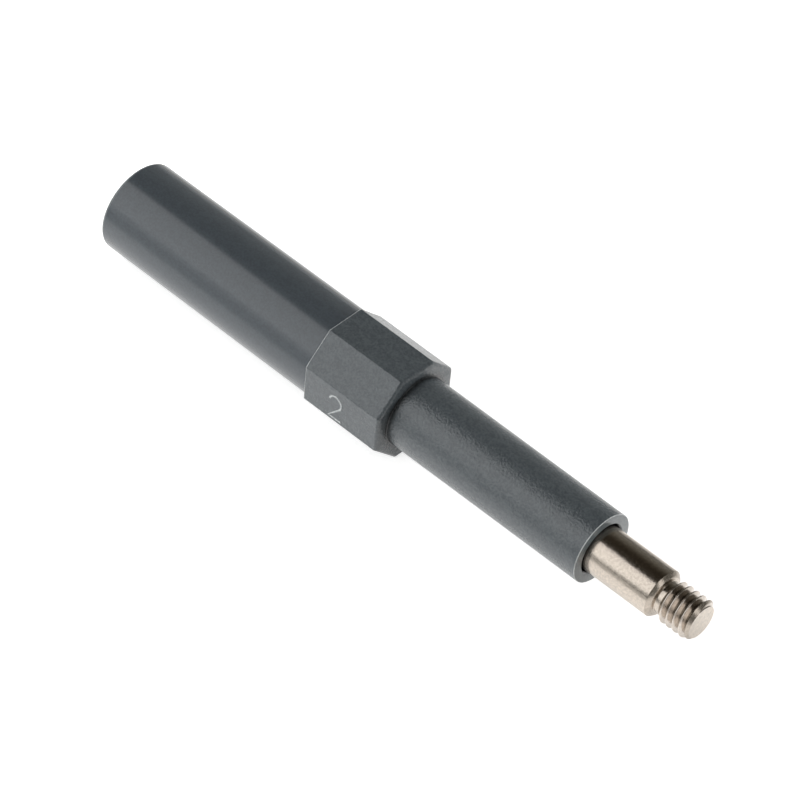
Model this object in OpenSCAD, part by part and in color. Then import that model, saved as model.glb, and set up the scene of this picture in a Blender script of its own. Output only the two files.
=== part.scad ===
// Terminal test adapter: an insulated 4 mm test socket on a threaded contact stud.
// It lies along X with the stud towards +X and rests on one flat of its octagonal collar.
// The origin is under the middle of the adapter, on the surface that it rests on.

/* [Insulating sleeve, rear tube] */
// Outside diameter of the smooth rear tube
tube_d = 9.0; // [8.6:0.1:9.2]
// Length of the rear tube, from its rim to the collar
tube_len = 26.2; // [25.6:0.1:32]
// Radius of the rounded rim at the rear end
rim_r = 0.3; // [0.2:0.05:0.8]
// Chamfer inside the mouth that leads the test plug in
mouth_chamfer = 0.4; // [0.2:0.05:0.7]
// How far the metal socket is set back from the rim
mouth_recess = 3.0; // [2.0:0.1:3.6]

/* [Insulating sleeve, collar] */
// Width of the octagonal collar across its flats
collar_af = 9.4; // [9.3:0.1:12]
// Length of the collar
collar_len = 8.9; // [8.0:0.1:12]
// Radius of the rounding along the collar's front edges
collar_round = 0.25; // [0.1:0.05:0.6]
// Depth of the socket's seat, from the collar's rear face
seat_depth = 6.3; // [5.4:0.1:7]

/* [Insulating sleeve, front] */
// Diameter of the textured front at the collar
front_root_d = 7.05; // [6.8:0.05:7.6]
// Diameter of the textured front at its free end, less by the mould's draft
front_tip_d = 6.95; // [6.5:0.05:7.1]
// Length of the textured front
front_len = 22.0; // [16:0.1:30]
// Radius of the fillet where the front grows out of the collar
root_fillet_r = 0.1; // [0.05:0.05:0.5]
// Edge break on the free end, outside and at the bore
front_edge_break = 0.12; // [0.05:0.01:0.3]

/* [Contact stud] */
// Diameter of the plain shank
shank_d = 4.6; // [4.4:0.1:5.2]
// Length of shank that stands out of the sleeve
shank_reach = 7.25; // [4:0.05:12]
// Radius of the rounding on the shoulder, which centres it in the terminal's countersunk hole
shoulder_round = 0.55; // [0.1:0.05:0.6]
// Diameter of the relief neck behind the thread
neck_d = 3.1; // [2.6:0.1:3.2]
// Length of the relief neck
neck_len = 0.55; // [0.3:0.05:1.2]
// Major diameter of the thread
thread_d = 4.0; // [3.6:0.1:4.2]
// Length of the thread with its chamfered tip
thread_len = 3.45; // [2.5:0.05:8]
// Diameter of the flat end face, where the tip's chamfer ends
tip_face_d = 3.2; // [2.6:0.1:3.4]
// Diameter of the spigot that is pressed into the socket
spigot_d = 3.2; // [2.6:0.1:3.6]
// Length of that spigot
spigot_len = 4.4; // [3:0.1:5]
// Chamfer on the spigot's end
spigot_chamfer = 0.3; // [0.1:0.05:0.5]

/* [Socket bush] */
// Outside diameter of the turned socket
bush_d = 6.2; // [5.8:0.1:6.6]
// Diameter of the socket, for a 4 mm test plug
socket_d = 4.0; // [3.8:0.05:4.4]
// Depth of the socket to where the drill point begins
socket_depth = 20.5; // [16:0.1:21]
// Chamfer at the socket's mouth
socket_chamfer = 0.45; // [0.2:0.05:0.7]
// Angle of the drill point at the socket's bottom
drill_angle = 118; // [90:1:140]
// Length of the knurled band that keeps the socket from turning
knurl_len = 4.5; // [3:0.1:6]
// Height of the knurl's teeth over the bush
knurl_height = 0.15; // [0.1:0.01:0.25]
// Number of teeth round the knurl
knurl_teeth = 30; // [20:1:40]
// Height of the barb over the bush
barb_height = 0.15; // [0.1:0.01:0.25]
// Length of the barb's ramp
barb_len = 1.4; // [0.8:0.1:2.5]
// Distance from the bush's rear face to the barb's steep side
barb_place = 4.0; // [2:0.1:8]
// Chamfer on the bush's two outer ends
bush_chamfer = 0.25; // [0.1:0.05:0.4]

/* [Fits] */
// Radial clearance between the bush and the bore of the rear tube
bush_clearance = 0.05; // [0.02:0.01:0.1]
// Radial clearance between the shank and the bore of the textured front
shank_clearance = 0.15; // [0.05:0.01:0.25]
// Radial interference of the spigot in the bush
spigot_press = 0.02; // [0.01:0.005:0.04]
// Free depth left behind the spigot's end
spigot_gap = 0.2; // [0.1:0.05:0.5]

/* [Hidden] */
$fn = 96;

// Stations along the axis, measured from the rear rim
collar_rear = tube_len;
collar_front = collar_rear + collar_len;
front_end = collar_front + front_len;
shoulder = front_end + shank_reach;
thread_start = shoulder + neck_len;
tip = thread_start + thread_len;
bush_rear = mouth_recess;
bush_front = collar_rear + seat_depth;
spigot_end = bush_front - spigot_len;
socket_bottom = bush_rear + socket_depth;

// Radii and lengths that follow from the sizes above
bush_seat_r = bush_d / 2 + bush_clearance;
shank_bore_r = shank_d / 2 + shank_clearance;
drill_point = socket_d / 2 / tan(drill_angle / 2);
tip_chamfer = (thread_d - tip_face_d) / 2;
// How far one solid runs into the next where they are joined
joined = 1;
// Straight steps in a rounded edge's quarter turn
arc_steps = 6;

// Turns a piece drawn along Z, from the rear rim, to its place along X
module along_axis() {
    translate([-tip / 2, 0, collar_af / 2]) rotate([0, 90, 0]) children();
}

// Points [radius, station] along a round stretch of a half profile
function arc(centre, r, from, to) = [
    for (i = [0 : arc_steps]) let (a = from + (to - from) * i / arc_steps) centre + r * [cos(a), sin(a)]
];

// A turned solid from its half profile of [radius, station] points
module turned(profile) {
    rotate_extrude() polygon(profile);
}

module rear_tube() {
    turned(concat(
        [[0, 0]],
        arc([tube_d / 2 - rim_r, rim_r], rim_r, -90, 0),
        [[tube_d / 2, tube_len + joined], [0, tube_len + joined]]
    ));
}

// An octagonal bar, rounded along its front edges: what four slabs crossed at 45 degrees have in common
module collar() {
    across = collar_af / 2;
    inside = across - collar_round;
    intersection_for(turn = [0 : 45 : 135])
        rotate([90, 0, turn]) linear_extrude(2 * collar_af, center = true) polygon(concat(
            [[-across, collar_rear], [across, collar_rear]],
            arc([inside, collar_front - collar_round], collar_round, 0, 90),
            arc([-inside, collar_front - collar_round], collar_round, 90, 180)
        ));
}

module textured_front() {
    root_r = front_root_d / 2;
    turned(concat(
        [[0, collar_front - joined], [root_r + root_fillet_r, collar_front - joined]],
        arc([root_r + root_fillet_r, collar_front + root_fillet_r], root_fillet_r, 270, 180),
        [
            [front_tip_d / 2, front_end - front_edge_break],
            [front_tip_d / 2 - front_edge_break, front_end],
            [0, front_end]
        ]
    ));
}

module sleeve_bore() {
    turned([
        [0, -joined],
        [bush_seat_r + mouth_chamfer, -joined],
        [bush_seat_r + mouth_chamfer, 0],
        [bush_seat_r, mouth_chamfer],
        [bush_seat_r, bush_front],
        [shank_bore_r, bush_front],
        [shank_bore_r, front_end - front_edge_break],
        [shank_bore_r + front_edge_break, front_end],
        [shank_bore_r + front_edge_break, front_end + joined],
        [0, front_end + joined]
    ]);
}

module insulating_sleeve() {
    color([0.30, 0.32, 0.34]) along_axis() difference() {
        union() {
            rear_tube();
            collar();
            textured_front();
        }
        sleeve_bore();
    }
}

module contact_stud() {
    color([0.86, 0.83, 0.79]) along_axis() turned(concat(
        [
            [0, spigot_end],
            [spigot_d / 2 - spigot_chamfer, spigot_end],
            [spigot_d / 2, spigot_end + spigot_chamfer],
            [spigot_d / 2, bush_front],
            [shank_d / 2, bush_front]
        ],
        arc([shank_d / 2 - shoulder_round, shoulder - shoulder_round], shoulder_round, 0, 90),
        [
            [neck_d / 2, shoulder],
            [neck_d / 2, thread_start],
            [thread_d / 2, thread_start],
            [thread_d / 2, tip - tip_chamfer],
            [tip_face_d / 2, tip],
            [0, tip]
        ]
    ));
}

// A straight knurl: teeth with flat flanks that reach knurl_height over the bush
module knurl() {
    root_r = bush_d / 2 - knurl_height;
    crest_r = bush_d / 2 + knurl_height;
    translate([0, 0, bush_front - bush_chamfer - knurl_len]) linear_extrude(knurl_len)
        polygon([for (i = [0 : 2 * knurl_teeth - 1])
            let (a = i * 180 / knurl_teeth, r = i % 2 == 0 ? crest_r : root_r) [r * cos(a), r * sin(a)]]);
}

module bush_body() {
    turned([
        [0, bush_rear],
        [bush_d / 2 - bush_chamfer, bush_rear],
        [bush_d / 2, bush_rear + bush_chamfer],
        [bush_d / 2, bush_rear + barb_place],
        [bush_d / 2 + barb_height, bush_rear + barb_place],
        [bush_d / 2, bush_rear + barb_place + barb_len],
        [bush_d / 2, bush_front - bush_chamfer],
        [bush_d / 2 - bush_chamfer, bush_front],
        [0, bush_front]
    ]);
}

module socket() {
    turned([
        [0, bush_rear - joined],
        [socket_d / 2 + socket_chamfer, bush_rear - joined],
        [socket_d / 2 + socket_chamfer, bush_rear],
        [socket_d / 2, bush_rear + socket_chamfer],
        [socket_d / 2, socket_bottom],
        [0, socket_bottom + drill_point]
    ]);
}

module spigot_hole() {
    translate([0, 0, spigot_end - spigot_gap])
        cylinder(d = spigot_d - 2 * spigot_press, h = spigot_len + spigot_gap + joined);
}

module socket_bush() {
    color([0.84, 0.82, 0.78]) along_axis() difference() {
        union() {
            bush_body();
            knurl();
        }
        socket();
        spigot_hole();
    }
}

insulating_sleeve();
contact_stud();
socket_bush();
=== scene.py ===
import math

import bmesh
import bpy
from mathutils import Matrix, Vector


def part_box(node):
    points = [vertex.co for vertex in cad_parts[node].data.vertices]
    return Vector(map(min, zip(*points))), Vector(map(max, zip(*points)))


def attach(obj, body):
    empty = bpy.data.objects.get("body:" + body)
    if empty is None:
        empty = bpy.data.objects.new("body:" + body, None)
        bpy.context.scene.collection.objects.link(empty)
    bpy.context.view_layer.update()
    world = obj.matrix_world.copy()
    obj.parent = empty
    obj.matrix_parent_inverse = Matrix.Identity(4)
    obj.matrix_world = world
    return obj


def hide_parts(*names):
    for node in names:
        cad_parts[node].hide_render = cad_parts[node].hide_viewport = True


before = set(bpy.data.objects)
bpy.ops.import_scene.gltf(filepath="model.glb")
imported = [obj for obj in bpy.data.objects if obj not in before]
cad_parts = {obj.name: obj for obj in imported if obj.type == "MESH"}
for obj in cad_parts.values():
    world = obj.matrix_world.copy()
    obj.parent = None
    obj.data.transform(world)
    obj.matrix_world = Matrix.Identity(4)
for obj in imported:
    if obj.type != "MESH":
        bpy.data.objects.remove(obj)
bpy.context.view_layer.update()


# Socket bush: a free-cutting brass turning that takes a 4 mm test plug, nickel plated all over.
# It is pressed in from the rear, where a straight knurl stops it turning and a one-way barb holds it.
mm = 0.001
bush_low, bush_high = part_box("socket_bush")
axis_height = (bush_low.z + bush_high.z) / 2
bush_rear = bush_low.x
bush_front = bush_high.x
bush_r = 3.1 * mm
bush_end_chamfer = 0.25 * mm
knurl_height = bush_high.y - bush_r
knurl_len = 4.5 * mm
knurl_teeth = 30
knurl_front = bush_front - bush_end_chamfer
knurl_rear = knurl_front - knurl_len
barb_height = 0.15 * mm
barb_len = 1.4 * mm
barb_x = bush_rear + 4.0 * mm
socket_r = 2.0 * mm
socket_bottom = bush_rear + 20.5 * mm
mouth_chamfer = 0.45 * mm
drill_angle = math.radians(118)
drill_point = socket_r / math.tan(drill_angle / 2)
spigot_hole_r = 1.58 * mm
spigot_hole_end = bush_front - 4.6 * mm
edge_break = 0.04 * mm
merge_gap = 0.0005 * mm


def turned(profile, steps, rounded):
    """A turned blank from the (x, radius) corners of its half profile.

    Each corner to be rounded is given with the size and the segments of its rounding.
    """
    blank = bmesh.new()
    corners = {corner: blank.verts.new((corner[0], 0, corner[1])) for corner in profile}
    points = list(corners.values())
    for start, end in zip(points, points[1:]):
        blank.edges.new((start, end))
    if profile[0][1] > 0:
        blank.edges.new((points[-1], points[0]))
    for corner, (size, segments) in rounded.items():
        bmesh.ops.bevel(blank, geom=[corners[corner]], offset=size, offset_type="OFFSET",
                        affect="VERTICES", segments=segments, profile=0.5, material=-1)
    bmesh.ops.spin(blank, geom=blank.verts[:] + blank.edges[:], cent=(0, 0, 0), axis=(1, 0, 0),
                   angle=2 * math.pi, steps=steps, use_merge=True)
    bmesh.ops.remove_doubles(blank, verts=blank.verts, dist=merge_gap)
    bmesh.ops.recalc_face_normals(blank, faces=blank.faces)
    return blank


def finished(blank, name, materials, crease):
    """A scene object of a blank, raised to the axis, smooth but for edges over the crease angle."""
    bmesh.ops.translate(blank, verts=blank.verts, vec=(0, 0, axis_height))
    mesh = bpy.data.meshes.new(name)
    blank.to_mesh(mesh)
    blank.free()
    for material in materials:
        mesh.materials.append(material)
    mesh.shade_smooth()
    mesh.set_sharp_from_angle(angle=math.radians(crease))
    piece = bpy.data.objects.new(name, mesh)
    bpy.context.scene.collection.objects.link(piece)
    return piece


def colour(code):
    """The linear colour of an sRGB hex code."""
    parts = [int(code[place:place + 2], 16) / 255 for place in (1, 3, 5)]
    return [part / 12.92 if part <= 0.04045 else ((part + 0.055) / 1.055) ** 2.4
            for part in parts] + [1]


def add(tree, kind, settings, links):
    """A node of the tree with its settings, and its inputs set to values or linked to sockets."""
    node = tree.nodes.new(kind)
    for name, value in settings.items():
        setattr(node, name, value)
    for name, value in links.items():
        if isinstance(value, bpy.types.NodeSocket):
            tree.links.new(value, node.inputs[name])
        else:
            node.inputs[name].default_value = value
    return node


def new_material(name):
    """A new material, its shader, and two sockets: a point's place from the axis and its distance."""
    material = bpy.data.materials.new(name)
    material.use_nodes = True
    tree = material.node_tree
    place = add(tree, "ShaderNodeTexCoord", {}, {})
    centred = add(tree, "ShaderNodeMapping", {}, {"Vector": place.outputs["Object"],
                                                  "Location": (0, 0, -axis_height)})
    across = add(tree, "ShaderNodeVectorMath", {"operation": "MULTIPLY"}, {0: centred.outputs["Vector"],
                                                                           1: (0, 1, 1)})
    off_axis = add(tree, "ShaderNodeVectorMath", {"operation": "LENGTH"}, {0: across.outputs["Vector"]})
    return material, tree.nodes["Principled BSDF"], centred.outputs["Vector"], off_axis.outputs["Value"]


# Nickel plate on turned brass: a warm white metal, not quite a mirror, with the lathe's fine feed rings
# and the plating's small pits and stains. The real feed is about 0.04 mm; it is drawn at 0.12 mm to show.
# Towards the axis, in bores and thread roots, the plating is thinner and dull: the first tint of the two.
# That darker tint also stands as painted shade in these hollows.
# A noise lies mostly in the middle of its range, and that part is spread over the range that is wanted.
noise_middle = {"From Min": 0.3, "From Max": 0.7}
feed_pitch = 0.12 * mm
feed_wander = 33 * mm
pit_size = 0.25 * mm
pit_depth = 0.01 * mm
plate_wear = 0.03
stain_dark = 0.78
stain_light = 1.04


def plated_brass(name, tints, radii, roughness, feed_depth):
    """Plate whose tint goes from the first at the inner radius to the second at the outer one."""
    material, shader, centred, off_axis = new_material(name)
    tree = material.node_tree
    shader.inputs["Metallic"].default_value = 1.0
    rings = add(tree, "ShaderNodeMapping", {},
                {"Vector": centred, "Scale": (1 / feed_pitch, 1 / feed_wander, 1 / feed_wander)})
    feed = add(tree, "ShaderNodeTexNoise", {}, {"Vector": rings.outputs["Vector"], "Scale": 1.0,
                                                "Detail": 3.0, "Roughness": 0.6})
    pits = add(tree, "ShaderNodeTexNoise", {}, {"Vector": centred, "Scale": 1 / pit_size,
                                                "Detail": 4.0, "Roughness": 0.6})
    wear = add(tree, "ShaderNodeMapRange", {}, {"Value": pits.outputs["Fac"], **noise_middle,
                                                "To Min": roughness - plate_wear,
                                                "To Max": roughness + plate_wear})
    tree.links.new(wear.outputs["Result"], shader.inputs["Roughness"])
    # Darker towards the axis: thinner plate, and painted shade in the hollows of thread roots and bores.
    thin_plate_and_shade = add(tree, "ShaderNodeMapRange", {}, {"Value": off_axis, "From Min": radii[0],
                                                "From Max": radii[1]})
    plate = add(tree, "ShaderNodeMix", {"data_type": "RGBA"},
                {"Factor": thin_plate_and_shade.outputs["Result"], "A": colour(tints[0]), "B": colour(tints[1])})
    stain = add(tree, "ShaderNodeMapRange", {}, {"Value": pits.outputs["Fac"], **noise_middle,
                                                 "To Min": stain_dark, "To Max": stain_light})
    tarnish = add(tree, "ShaderNodeVectorMath", {"operation": "SCALE"},
                  {0: plate.outputs["Result"], "Scale": stain.outputs["Result"]})
    tree.links.new(tarnish.outputs["Vector"], shader.inputs["Base Color"])
    grooves = add(tree, "ShaderNodeBump", {}, {"Height": feed.outputs["Fac"], "Strength": 1.0,
                                               "Distance": feed_depth})
    relief = add(tree, "ShaderNodeBump", {}, {"Height": pits.outputs["Fac"], "Strength": 1.0,
                                              "Distance": pit_depth, "Normal": grooves.outputs["Normal"]})
    tree.links.new(relief.outputs["Normal"], shader.inputs["Normal"])
    return material


bush_nickel = plated_brass("nickel_plated_brass_bored", ("#A3947F", "#E0D6CA"),
                           (socket_r / 2, socket_r), roughness=0.24, feed_depth=0.002 * mm)

rear_corners = [
    (bush_rear + mouth_chamfer, socket_r),
    (bush_rear, socket_r + mouth_chamfer),
    (bush_rear, bush_r - bush_end_chamfer),
    (bush_rear + bush_end_chamfer, bush_r),
]
bush_profile = [
    (socket_bottom + drill_point, 0),
    (socket_bottom, socket_r),
    *rear_corners,
    (barb_x, bush_r),
    (barb_x, bush_r + barb_height),
    (barb_x + barb_len, bush_r),
    (knurl_rear, bush_r),
    (knurl_rear, bush_r + knurl_height),
    (knurl_front, bush_r + knurl_height),
    (knurl_front, bush_r),
    (bush_front, bush_r - bush_end_chamfer),
    (bush_front, spigot_hole_r),
    (spigot_hole_end, spigot_hole_r),
    (spigot_hole_end, 0),
]
steps_per_tooth = 4
bush = turned(bush_profile, knurl_teeth * steps_per_tooth,
              {corner: (edge_break, 2) for corner in rear_corners})

# The knurl's band is pressed into pointed teeth, as deep below the bush as they are high above it.
for vert in bush.verts:
    if vert.co.yz.length > bush_r + knurl_height / 2 and vert.co.x > barb_x + barb_len:
        turn = math.atan2(vert.co.y, vert.co.z) / (2 * math.pi) * knurl_teeth
        wave = 1 - 4 * abs(turn - round(turn))
        vert.co.yz *= (bush_r + knurl_height * wave) / vert.co.yz.length
socket_bush = finished(bush, "socket_bush_plated", [bush_nickel], crease=20)
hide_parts("socket_bush")
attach(socket_bush, "root")


# Contact stud: turned from brass bar, with a rolled M4 thread behind a chamfered tip, nickel plated.
# Its spigot is pressed into the bush, its shank runs out through the sleeve's front, and its coned
# shoulder lands on the terminal when the thread is screwed in.
stud_low, stud_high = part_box("contact_stud")
stud_rear = stud_low.x
tip_x = stud_high.x
shank_r = stud_high.y
spigot_r = 1.6 * mm
spigot_chamfer = 0.3 * mm
thread_len = 3.45 * mm
thread_r = 2.0 * mm
thread_pitch = 0.7 * mm
# Depth, root radius and crest flat are the metric thread's own shares of its pitch.
thread_depth = 0.6134 * thread_pitch
thread_root_round = 0.144 * thread_pitch
flank_angle = math.radians(30)
crest_round = 0.055 * mm
half_crest_flat = thread_pitch / 16 - crest_round * math.tan(flank_angle)
run_in_slope = 1.5
tip_face_r = 1.6 * mm
neck_r = 1.55 * mm
neck_len = 0.5 * mm
neck_fillet = 0.08 * mm
thread_start = tip_x - thread_len
shoulder_x = thread_start - neck_len
shoulder_cone = 0.43 * mm
shoulder_round = 0.2 * mm
ring_steps = 96
rings_per_turn = 60
thread_phase = 0.03

shank_step = (bush_front, shank_r)
shoulder_edge = (shoulder_x - shoulder_cone, shank_r)
cone_foot = (shoulder_x, shank_r - shoulder_cone)
neck_corner = (shoulder_x, neck_r)
stud_profile = [
    (stud_rear, 0),
    (stud_rear, spigot_r - spigot_chamfer),
    (stud_rear + spigot_chamfer, spigot_r),
    (bush_front, spigot_r),
    shank_step,
    shoulder_edge,
    cone_foot,
    neck_corner,
    (thread_start, neck_r),
]


def thread_radius(x, turn):
    """The radius of the right-hand thread at a place along the axis and a part of a turn round it."""
    along = (x - thread_start) / thread_pitch - turn + thread_phase
    from_root = (0.5 - abs(along - round(along))) * thread_pitch
    root_r = thread_r - thread_depth
    from_flat = thread_pitch / 2 - from_root - half_crest_flat
    if from_flat < crest_round * math.cos(flank_angle):
        radius = thread_r - crest_round + math.sqrt(crest_round ** 2 - max(from_flat, 0) ** 2)
    elif from_root < thread_root_round * math.cos(flank_angle):
        radius = root_r + thread_root_round - math.sqrt(thread_root_round ** 2 - from_root ** 2)
    else:
        radius = root_r - thread_root_round + from_root / math.tan(flank_angle)
    tip_cone = tip_face_r + (tip_x - x)
    run_in = neck_r + (x - thread_start) * run_in_slope
    return min(radius, thread_r, tip_cone, run_in)


stud = turned(stud_profile, ring_steps,
              {shank_step: (edge_break, 2), shoulder_edge: (edge_break, 3),
               cone_foot: (shoulder_round, 6), neck_corner: (neck_fillet, 4)})

# The neck's last ring is spun on along the axis and capped, and every point of what it leaves is then
# brought to the thread's own radius.
end_ring = [edge for edge in stud.edges if edge.is_boundary]
thread_rings = round(thread_len / thread_pitch * rings_per_turn)
grown = bmesh.ops.spin(stud, geom=end_ring + list({v for e in end_ring for v in e.verts}),
                       cent=(0, 0, 0), axis=(1, 0, 0), dvec=(thread_len / thread_rings, 0, 0),
                       angle=2 * math.pi * thread_len / thread_pitch, steps=thread_rings)
last_ring = [part for part in grown["geom_last"] if isinstance(part, bmesh.types.BMEdge)]
bmesh.ops.edgeloop_fill(stud, edges=last_ring)
for vert in stud.verts:
    if vert.co.x > thread_start + merge_gap:
        turn = math.atan2(vert.co.y, -vert.co.z) / (2 * math.pi)
        vert.co.yz *= thread_radius(vert.co.x, turn) / vert.co.yz.length
bmesh.ops.recalc_face_normals(stud, faces=stud.faces)

# The same plate on the stud's three surfaces: even on the turned ones, a little rougher and darker on
# the cones of shoulder and tip, and thinner at the floor of the rolled thread, where its darker tint is
# also painted shade.
thread_floor_r = thread_r - thread_depth
floor_shade_radii = (thread_floor_r + 0.01 * mm, thread_floor_r + 0.06 * mm)
stud_nickel = plated_brass("nickel_plated_brass_turned", ("#C6BCB1", "#C6BCB1"),
                           (0, shank_r), roughness=0.2, feed_depth=0.003 * mm)
thread_nickel = plated_brass("nickel_plated_brass_rolled", ("#857A6C", "#D0C7BE"),
                             floor_shade_radii, roughness=0.18, feed_depth=0.002 * mm)
coned_nickel = plated_brass("nickel_plated_brass_coned", ("#B4AA9F", "#B4AA9F"),
                            (0, shank_r), roughness=0.26, feed_depth=0.004 * mm)
rolled_zone = 1
coned_zone = 2
tip_face = max(stud.faces, key=lambda face: face.calc_center_median().x)
for face in stud.faces:
    middle = face.calc_center_median()
    if shoulder_x - shoulder_cone < middle.x < shoulder_x - edge_break:
        face.material_index = coned_zone
    elif middle.x > thread_start and face != tip_face:
        in_cone = middle.yz.length > tip_face_r + (tip_x - middle.x) - edge_break
        face.material_index = coned_zone if in_cone else rolled_zone
contact_stud = finished(stud, "contact_stud_threaded",
                        [stud_nickel, thread_nickel, coned_nickel], crease=25)
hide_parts("contact_stud")
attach(contact_stud, "root")


# Insulating sleeve: one injection moulding in dark grey polyamide, which the fingers or a spanner turn.
# The mould parts at the rear edge of its octagonal collar: the tube behind came from a polished cavity,
# the collar and the front from a spark-eroded one. The bush is pressed into it up to an inner step.
sleeve_low, sleeve_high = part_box("insulating_sleeve")
rim_x = sleeve_low.x
front_x = sleeve_high.x
across_flats = sleeve_high.y - sleeve_low.y
tube_r = 4.5 * mm
rim_round = 0.3 * mm
bore_r = 3.15 * mm
bore_mouth_chamfer = 0.4 * mm
bore_mouth_round = 0.08 * mm
shank_bore_r = 2.45 * mm
collar_rear = rim_x + 26.2 * mm
collar_front = collar_rear + 8.9 * mm
flats = 8
flat_turn = 360 / flats
half_flat_turn = math.radians(flat_turn / 2)
corner_turns = (0, 15, 30)
corner_r = across_flats / 2 / math.cos(half_flat_turn)
corner_round = 0.2 * mm
corner_centre = (across_flats / 2 - corner_round) / math.cos(half_flat_turn)
planing_allowance = 0.1 * mm
blank_r = corner_r + planing_allowance
front_root_r = 3.525 * mm
front_tip_r = 3.475 * mm
root_fillet = 0.05 * mm
core_margin = 0.2 * mm
collar_core_r = front_root_r + core_margin
front_edge_break = 0.12 * mm
collar_round = 0.38 * mm
collar_round_tilts = (15, 30, 45, 60, 75)
parting_round = 0.11 * mm
parting_round_tilts = (-30, -60)
front_edge_round = 0.06 * mm
sleeve_steps = 192

bore_mouth = (rim_x, bore_r + bore_mouth_chamfer)
front_root = (collar_front, front_root_r)
rim_corner = (rim_x, tube_r)
sleeve_profile = [
    bore_mouth,
    (rim_x + bore_mouth_chamfer, bore_r),
    (bush_front, bore_r),
    (bush_front, shank_bore_r),
    (front_x - front_edge_break, shank_bore_r),
    (front_x, shank_bore_r + front_edge_break),
    (front_x, front_tip_r),
    front_root,
    (collar_front, blank_r),
    (collar_rear, blank_r),
    (collar_rear, tube_r),
    rim_corner,
]
sleeve = turned(sleeve_profile, sleeve_steps,
                {bore_mouth: (bore_mouth_round, 3), front_root: (root_fillet, 5),
                 rim_corner: (rim_round, 8)})


def cut_collar(point, outward):
    """Planes the collar, and nothing else of the sleeve, down to a plane."""
    skin = [face for face in sleeve.faces if face.calc_center_median().x > collar_rear - edge_break
            and face.calc_center_median().yz.length > collar_core_r]
    parts = set(skin)
    parts |= {edge for face in skin for edge in face.edges}
    parts |= {vert for face in skin for vert in face.verts}
    cut = bmesh.ops.bisect_plane(sleeve, geom=list(parts), dist=merge_gap, plane_co=point,
                                 plane_no=outward, clear_outer=True)
    rim = [part for part in cut["geom_cut"] if isinstance(part, bmesh.types.BMEdge)]
    if rim:
        bmesh.ops.edgeloop_fill(sleeve, edges=rim)


# Each flat is planed, then two planes beside it that round the corner, each with its front and rear edge.
collar_edges = [(collar_front - collar_round, collar_round, collar_round_tilts),
                (collar_rear + parting_round, parting_round, parting_round_tilts)]
for side in range(flats):
    for turn in corner_turns:
        outward = Matrix.Rotation(math.radians(side * flat_turn + turn), 3, "X") @ Vector((0, 0, 1))
        reach_out = corner_centre * math.cos(math.radians(flat_turn / 2 - turn)) + corner_round
        cut_collar(outward * reach_out, outward)
        for x, size, tilts in collar_edges:
            centre = outward * (reach_out - size) + Vector((x, 0, 0))
            for tilt in map(math.radians, tilts):
                tilted = outward * math.cos(tilt) + Vector((math.sin(tilt), 0, 0))
                cut_collar(centre + tilted * size, tilted)
bmesh.ops.recalc_face_normals(sleeve, faces=sleeve.faces)

# Zones are places in the sleeve's list of materials, which begins with the tube's polished skin. The
# parting edge is what faces neither straight back nor straight out at the collar's rear.
eroded_zone = 1
scuff_and_highlight_zone = 2
end_zone = 3
parting_back = -0.95
parting_out = -0.2
for face in sleeve.faces:
    middle = face.calc_center_median()
    if middle.x > collar_rear and middle.yz.length > shank_bore_r + front_edge_break:
        face.material_index = end_zone if middle.x > front_x - edge_break else eroded_zone
        # The parting edge is scuffed pale, and its pale tint also paints the highlight on this rounded
        # edge.
        in_parting = parting_back < face.normal.x < parting_out
        if middle.x < collar_rear + parting_round and in_parting:
            face.material_index = scuff_and_highlight_zone
    if middle.x < rim_x + rim_round and middle.yz.length > tube_r - rim_round:
        face.material_index = end_zone

# The rim of the front end is rounded a little and scuffed pale; the pale tint also paints the highlight
# on its rounding.
front_edges = [edge for edge in sleeve.edges
               if all(abs(v.co.x - front_x) < merge_gap and v.co.yz.length > front_tip_r - edge_break
                      for v in edge.verts)]
bmesh.ops.bevel(sleeve, geom=front_edges, offset=front_edge_round, offset_type="OFFSET",
                affect="EDGES", segments=3, profile=0.5, material=scuff_and_highlight_zone)

# Cavity number: a plain figure that the mould's engraving leaves raised on one flat of the collar, so
# that a faulty cavity can be told from its mouldings. It is part of the sleeve.
number_x = -4.2 * mm
number_z = 4.4 * mm
number_height = 2.6 * mm
number_stroke_r = 0.13 * mm
number_sunk = 0.085 * mm
bowl_r = 0.72 * mm
bowl_degrees = range(165, -46, -15)
foot_reach = 1.1 * bowl_r
number = bpy.data.curves.new("cavity_number", "CURVE")
number.dimensions = "3D"
number.bevel_depth = number_stroke_r
number.bevel_resolution = 3
number.use_fill_caps = True
bowl_centre = Vector((0, number_height / 2 - bowl_r))
bowl = [bowl_centre + bowl_r * Vector((math.cos(turn), math.sin(turn)))
        for turn in map(math.radians, bowl_degrees)]
figure = bowl + [Vector((-bowl_r, -number_height / 2)), Vector((foot_reach, -number_height / 2))]
stroke = number.splines.new("POLY")
stroke.points.add(len(figure) - 1)
for point, place in zip(stroke.points, figure):
    point.co = (number_x + place.x, number_sunk - across_flats / 2, number_z - axis_height + place.y, 1)
number_object = bpy.data.objects.new("cavity_number", number)
number_mesh = number_object.to_mesh()
# The figure's strokes are scuffed pale, and their pale tint also paints the glint on the raised strokes.
for face in number_mesh.polygons:
    face.material_index = scuff_and_highlight_zone
sleeve.from_mesh(number_mesh)
number_object.to_mesh_clear()
bmesh.ops.remove_doubles(sleeve, verts=sleeve.verts, dist=merge_gap)
bpy.data.objects.remove(number_object)


# Polyamide, moulded: a dense dark grey with a cool cast. The polished cavity leaves a satin skin; the
# spark-eroded one leaves a fine pitted grain of about 0.1 mm, drawn at 0.2 mm so that it shows, with
# short drag marks. Painted shade darkens the tint towards the corner at the collar's root. Edges are
# scuffed pale, and that pale tint also paints their highlight.
mottle_middle = {"From Min": 0.35, "From Max": 0.65}
grain_size = 0.2 * mm
skin_size = 0.6 * mm
drag_len = 0.9 * mm
drag_width = 0.5 * mm
# Painted shade in the corner at the collar's root: how far it reaches, and the share of the tint left at
# the corner.
painted_shade_reach = 0.7 * mm
painted_shade_factor = 0.25
blotch_shade = 0.3
gloss_change = 0.03
polyamide_ior = 1.6


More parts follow.
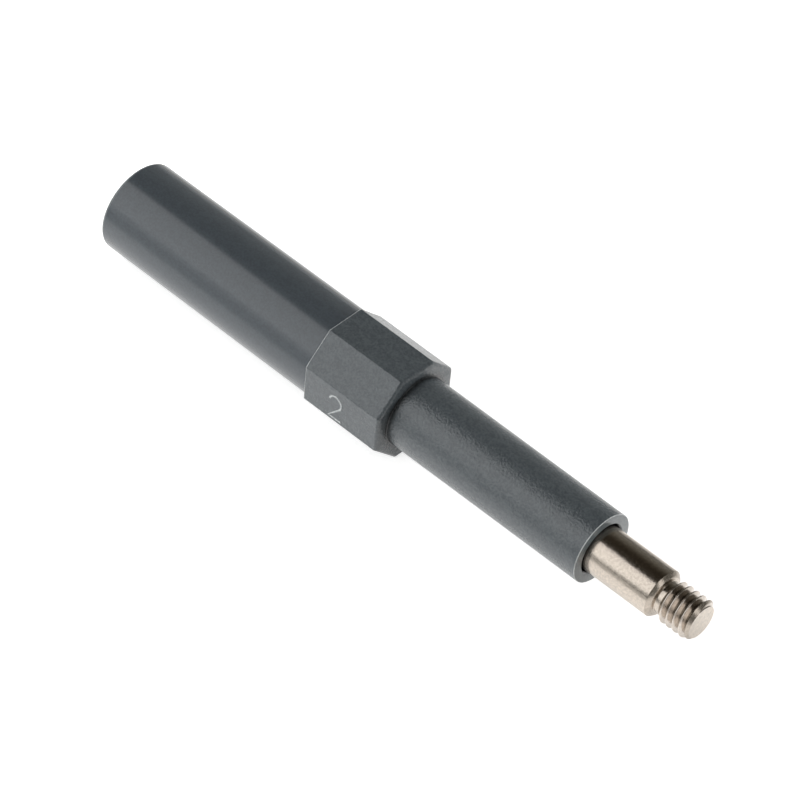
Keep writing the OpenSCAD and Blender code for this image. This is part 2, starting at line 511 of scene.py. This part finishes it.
def moulded_polyamide(name, tints, roughness, grain_depth, skin_depth):
    """Polyamide of two mottled tints, with its grain and the broader waves of its skin in relief."""
    material, shader, centred, off_axis = new_material(name)
    tree = material.node_tree
    shader.inputs["IOR"].default_value = polyamide_ior
    grain = add(tree, "ShaderNodeTexNoise", {}, {"Vector": centred, "Scale": 1 / grain_size,
                                                 "Detail": 2.0, "Roughness": 0.5})
    skin = add(tree, "ShaderNodeTexNoise", {}, {"Vector": centred, "Scale": 1 / skin_size,
                                                "Detail": 4.0, "Roughness": 0.6})
    specks = add(tree, "ShaderNodeMapRange", {}, {"Value": grain.outputs["Fac"], **mottle_middle})
    drawn_out = add(tree, "ShaderNodeMapping", {},
                    {"Vector": centred, "Scale": (1 / drag_len, 1 / drag_width, 1 / drag_width)})
    drag = add(tree, "ShaderNodeTexNoise", {}, {"Vector": drawn_out.outputs["Vector"], "Scale": 1.0,
                                                "Detail": 3.0, "Roughness": 0.6})
    marks = add(tree, "ShaderNodeMapRange", {}, {"Value": drag.outputs["Fac"], **mottle_middle,
                                                 "To Min": -blotch_shade, "To Max": blotch_shade})
    mottle = add(tree, "ShaderNodeMath", {"operation": "ADD"}, {0: specks.outputs["Result"],
                                                                1: marks.outputs["Result"]})
    tint = add(tree, "ShaderNodeMix", {"data_type": "RGBA"},
               {"Factor": mottle.outputs["Value"], "A": colour(tints[0]), "B": colour(tints[1])})
    along = add(tree, "ShaderNodeSeparateXYZ", {}, {"Vector": centred})
    half_section = add(tree, "ShaderNodeCombineXYZ", {}, {"X": along.outputs["X"], "Y": off_axis})
    # Painted shade: the tint darkens smoothly towards the corner at the collar's root, where the collar's
    # shadow falls.
    from_corner = add(tree, "ShaderNodeVectorMath", {"operation": "DISTANCE"},
                      {0: half_section.outputs["Vector"], 1: (collar_front, front_root_r, 0)})
    painted_corner_shade = add(tree, "ShaderNodeMapRange", {"interpolation_type": "SMOOTHSTEP"},
                  {"Value": from_corner.outputs["Value"], "From Min": 0.0, "From Max": painted_shade_reach,
                   "To Min": painted_shade_factor, "To Max": 1.0})
    corner_shaded_tint = add(tree, "ShaderNodeVectorMath", {"operation": "SCALE"},
                  {0: tint.outputs["Result"], "Scale": painted_corner_shade.outputs["Result"]})
    tree.links.new(corner_shaded_tint.outputs["Vector"], shader.inputs["Base Color"])
    gloss = add(tree, "ShaderNodeMapRange", {}, {"Value": skin.outputs["Fac"], **noise_middle,
                                                 "To Min": roughness - gloss_change,
                                                 "To Max": roughness + gloss_change})
    tree.links.new(gloss.outputs["Result"], shader.inputs["Roughness"])
    waves = add(tree, "ShaderNodeBump", {}, {"Height": skin.outputs["Fac"], "Strength": 1.0,
                                             "Distance": skin_depth})
    pits = add(tree, "ShaderNodeBump", {}, {"Height": grain.outputs["Fac"], "Strength": 1.0,
                                            "Distance": grain_depth, "Normal": waves.outputs["Normal"]})
    tree.links.new(pits.outputs["Normal"], shader.inputs["Normal"])
    return material


tube_skin = moulded_polyamide("polyamide_polished_cavity", ("#464C52", "#4B5258"),
                              roughness=0.2, grain_depth=0, skin_depth=0.001 * mm)
eroded_skin = moulded_polyamide("polyamide_spark_eroded", ("#494F54", "#565D61"),
                                roughness=0.2, grain_depth=0.06 * mm, skin_depth=0.03 * mm)
scuff_and_highlight_skin = moulded_polyamide("polyamide_scuffed_edge_painted_highlight", ("#B0B5B7", "#D2D6D7"),
                                 roughness=0.4, grain_depth=0.06 * mm, skin_depth=0.01 * mm)
end_skin = moulded_polyamide("polyamide_end_face", ("#646A6E", "#6E7679"),
                             roughness=0.15, grain_depth=0.015 * mm, skin_depth=0.01 * mm)
insulating_sleeve = finished(sleeve, "insulating_sleeve_moulded",
                             [tube_skin, eroded_skin, scuff_and_highlight_skin, end_skin], crease=16)

# Normals weighted by area keep the flats flat to the eye, up to their rounded edges.
flats_kept = insulating_sleeve.modifiers.new("flats_kept_flat", "WEIGHTED_NORMAL")
flats_kept.keep_sharp = True
flats_kept.weight = 100
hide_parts("insulating_sleeve")
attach(insulating_sleeve, "root")


# Table: a round white sheet under the adapter, 5 m across. Its own colour and a little light in camera
# rays keep it white to the eye, and it still takes the adapter's shadow. In glossy rays it is bright in
# a long pool round the adapter, less so under it and on its shadow side, and dim further out.
table_r = 2.5
white_to_camera = 0.7
pool_stretch = 0.15
pool_inner = 14 * mm
pool_outer = 34 * mm
pool_strength = 0.87
under_reach = 6 * mm
under_share = 0.5
shadow_start = 4 * mm
shadow_full = 14 * mm
shadow_share = 0.72
floor = bmesh.new()
bmesh.ops.create_circle(floor, cap_ends=True, segments=64, radius=table_r)
table_mesh = bpy.data.meshes.new("white_table")
floor.to_mesh(table_mesh)
floor.free()
white_table = bpy.data.objects.new("white_table", table_mesh)
bpy.context.scene.collection.objects.link(white_table)
table_white = bpy.data.materials.new("white_table_card")
table_white.use_nodes = True
table_tree = table_white.node_tree
card = table_tree.nodes["Principled BSDF"]
card.inputs["Base Color"].default_value = colour("#F2F2F1")
card.inputs["Roughness"].default_value = 0.9
card.inputs["Specular IOR Level"].default_value = 0.0
card.inputs["Emission Color"].default_value = (1, 1, 1, 1)
ray = add(table_tree, "ShaderNodeLightPath", {}, {})
table_place = add(table_tree, "ShaderNodeTexCoord", {}, {})
pool_place = add(table_tree, "ShaderNodeMapping", {}, {"Vector": table_place.outputs["Object"],
                                                       "Scale": (pool_stretch, 1, 1)})
reach = add(table_tree, "ShaderNodeVectorMath", {"operation": "LENGTH"},
            {0: pool_place.outputs["Vector"]})
pool = add(table_tree, "ShaderNodeMapRange", {"interpolation_type": "SMOOTHSTEP"},
           {"Value": reach.outputs["Value"], "From Min": pool_inner, "From Max": pool_outer,
            "To Min": pool_strength, "To Max": 0.0})
table_sides = add(table_tree, "ShaderNodeSeparateXYZ", {}, {"Vector": table_place.outputs["Object"]})
beside = add(table_tree, "ShaderNodeMath", {"operation": "ABSOLUTE"}, {0: table_sides.outputs["Y"]})
under = add(table_tree, "ShaderNodeMapRange", {"interpolation_type": "SMOOTHSTEP"},
            {"Value": beside.outputs["Value"], "From Min": 0.0, "From Max": under_reach,
             "To Min": under_share, "To Max": 1.0})
behind = add(table_tree, "ShaderNodeMapRange", {"interpolation_type": "SMOOTHSTEP"},
             {"Value": table_sides.outputs["Y"], "From Min": shadow_start,
              "From Max": shadow_full, "To Min": 1.0, "To Max": shadow_share})
near = add(table_tree, "ShaderNodeMath", {"operation": "MULTIPLY"},
           {0: under.outputs["Result"], 1: behind.outputs["Result"]})
shaded = add(table_tree, "ShaderNodeMath", {"operation": "MULTIPLY"},
             {0: near.outputs["Value"], 1: pool.outputs["Result"]})
mirrored = add(table_tree, "ShaderNodeMath", {"operation": "MULTIPLY"},
               {0: ray.outputs["Is Glossy Ray"], 1: shaded.outputs["Value"]})
seen = add(table_tree, "ShaderNodeMath", {"operation": "MULTIPLY_ADD"},
           {0: ray.outputs["Is Camera Ray"], 1: white_to_camera, 2: mirrored.outputs["Value"]})
table_tree.links.new(seen.outputs["Value"], card.inputs["Emission Strength"])
table_mesh.materials.append(table_white)


# Light: one large softbox, dimmer along its lower rim, leans over the table from the front left. A strip
# at the right shows in the gloss alone, four fills lift the shadows and never show in the gloss, and the
# room is dark above and pale near the horizon.
key_bearing = math.radians(31.5)
key_width = 0.52
key_shift = 0.05


def softbox(name, place, target, width, height, radiance):
    """An area lamp, in metres, that faces its target and shines alike at any size."""
    lamp = bpy.data.lights.new(name, "AREA")
    lamp.shape = "RECTANGLE"
    lamp.size = width
    lamp.size_y = height
    lamp.energy = radiance * width * height * math.pi
    lamp_object = bpy.data.objects.new(name, lamp)
    lamp_object.location = place
    lamp_object.rotation_euler = (Vector(target) - Vector(place)).to_track_quat("-Z", "Y").to_euler()
    lamp_object.visible_camera = False
    bpy.context.scene.collection.objects.link(lamp_object)
    return lamp_object


def front_left(out, up):
    """A place at a distance out along the key softbox's bearing, at a height."""
    return Vector((-math.sin(key_bearing) * out, -math.cos(key_bearing) * out, up))


def leaning_softbox(name, upper_edge, lower_edge, radiance):
    """A softbox across the bearing, which leans over the table from its lower to its upper edge."""
    across = Vector((0, 0, 1)).cross(front_left(1, 0))
    facing = across.cross(upper_edge - lower_edge)
    if facing.dot(-upper_edge) < 0:
        facing = -facing
    middle = (upper_edge + lower_edge) / 2 - across * key_shift
    softbox(name, middle, middle + facing, key_width, (upper_edge - lower_edge).length, radiance)


key_top = front_left(0.165, 0.39)
key_rim = front_left(0.513, 0.142)
key_foot = front_left(0.648, 0.046)
leaning_softbox("key_softbox", key_top, key_rim, radiance=1.38)
leaning_softbox("key_lower_rim", key_rim, key_foot, radiance=0.65)
adapter_place = (0, 0, 0)
right_strip = softbox("right_strip", (0.39, 0.048, 0.218), adapter_place,
                      width=0.14, height=0.46, radiance=1.6)
right_strip.visible_diffuse = False
fills = [
    ("low_front_fill", (-0.33, -0.5, 0.06), 0.8, 0.1, 6.5),
    ("low_right_fill", (0.5, 0.3, 0.1), 0.4, 0.1, 10.0),
    ("low_back_fill", (-0.1, 0.6, 0.2), 0.8, 0.2, 4.0),
    ("overhead_fill", (0.0, 0.0, 0.7), 0.7, 0.7, 0.65),
]
for name, place, width, height, radiance in fills:
    fill = softbox(name, place, adapter_place, width, height, radiance)
    fill.visible_glossy = False

world = bpy.data.worlds.new("dark_studio")
world.use_nodes = True
sky_tree = world.node_tree
sky = sky_tree.nodes["Background"]
direction = add(sky_tree, "ShaderNodeTexCoord", {}, {})
height = add(sky_tree, "ShaderNodeSeparateXYZ", {}, {"Vector": direction.outputs["Generated"]})
fade = add(sky_tree, "ShaderNodeValToRGB", {}, {"Fac": height.outputs["Z"]})
fade.color_ramp.elements[0].position = 0.0
fade.color_ramp.elements[0].color = (0.22, 0.22, 0.21, 1)
fade.color_ramp.elements[1].position = 0.85
fade.color_ramp.elements[1].color = (0.032, 0.026, 0.018, 1)
for rise, tone in ((0.2, (0.23, 0.23, 0.215, 1)),
                   (0.5, (0.17, 0.163, 0.143, 1)),
                   (0.72, (0.078, 0.07, 0.055, 1))):
    step = fade.color_ramp.elements.new(rise)
    step.color = tone
sky_tree.links.new(fade.outputs["Color"], sky.inputs["Color"])
bpy.context.scene.world = world
bpy.context.scene.view_settings.view_transform = "Standard"


# Camera: a long lens at the photograph's angle, turned a little about its own axis.
aim = Vector((-0.839 * mm, -0.018 * mm, axis_height))
azimuth = math.radians(39.83)
elevation = math.radians(45.63)
roll = math.radians(5.67)
distance = 356.8 * mm
back = Vector((math.sin(azimuth) * math.cos(elevation), -math.cos(azimuth) * math.cos(elevation),
               math.sin(elevation)))
level_right = Vector((math.cos(azimuth), math.sin(azimuth), 0))
level_up = back.cross(level_right)
upright = Matrix((level_right, level_up, back)).transposed()
camera = bpy.data.cameras.new("camera")
camera.lens = 183.67
camera.sensor_width = 36
camera.clip_start = 0.01
camera_object = bpy.data.objects.new("camera", camera)
camera_object.matrix_world = Matrix.Translation(aim + back * distance) @ (
    upright @ Matrix.Rotation(roll, 3, "Z")).to_4x4()
bpy.context.scene.collection.objects.link(camera_object)
bpy.context.scene.camera = camera_object
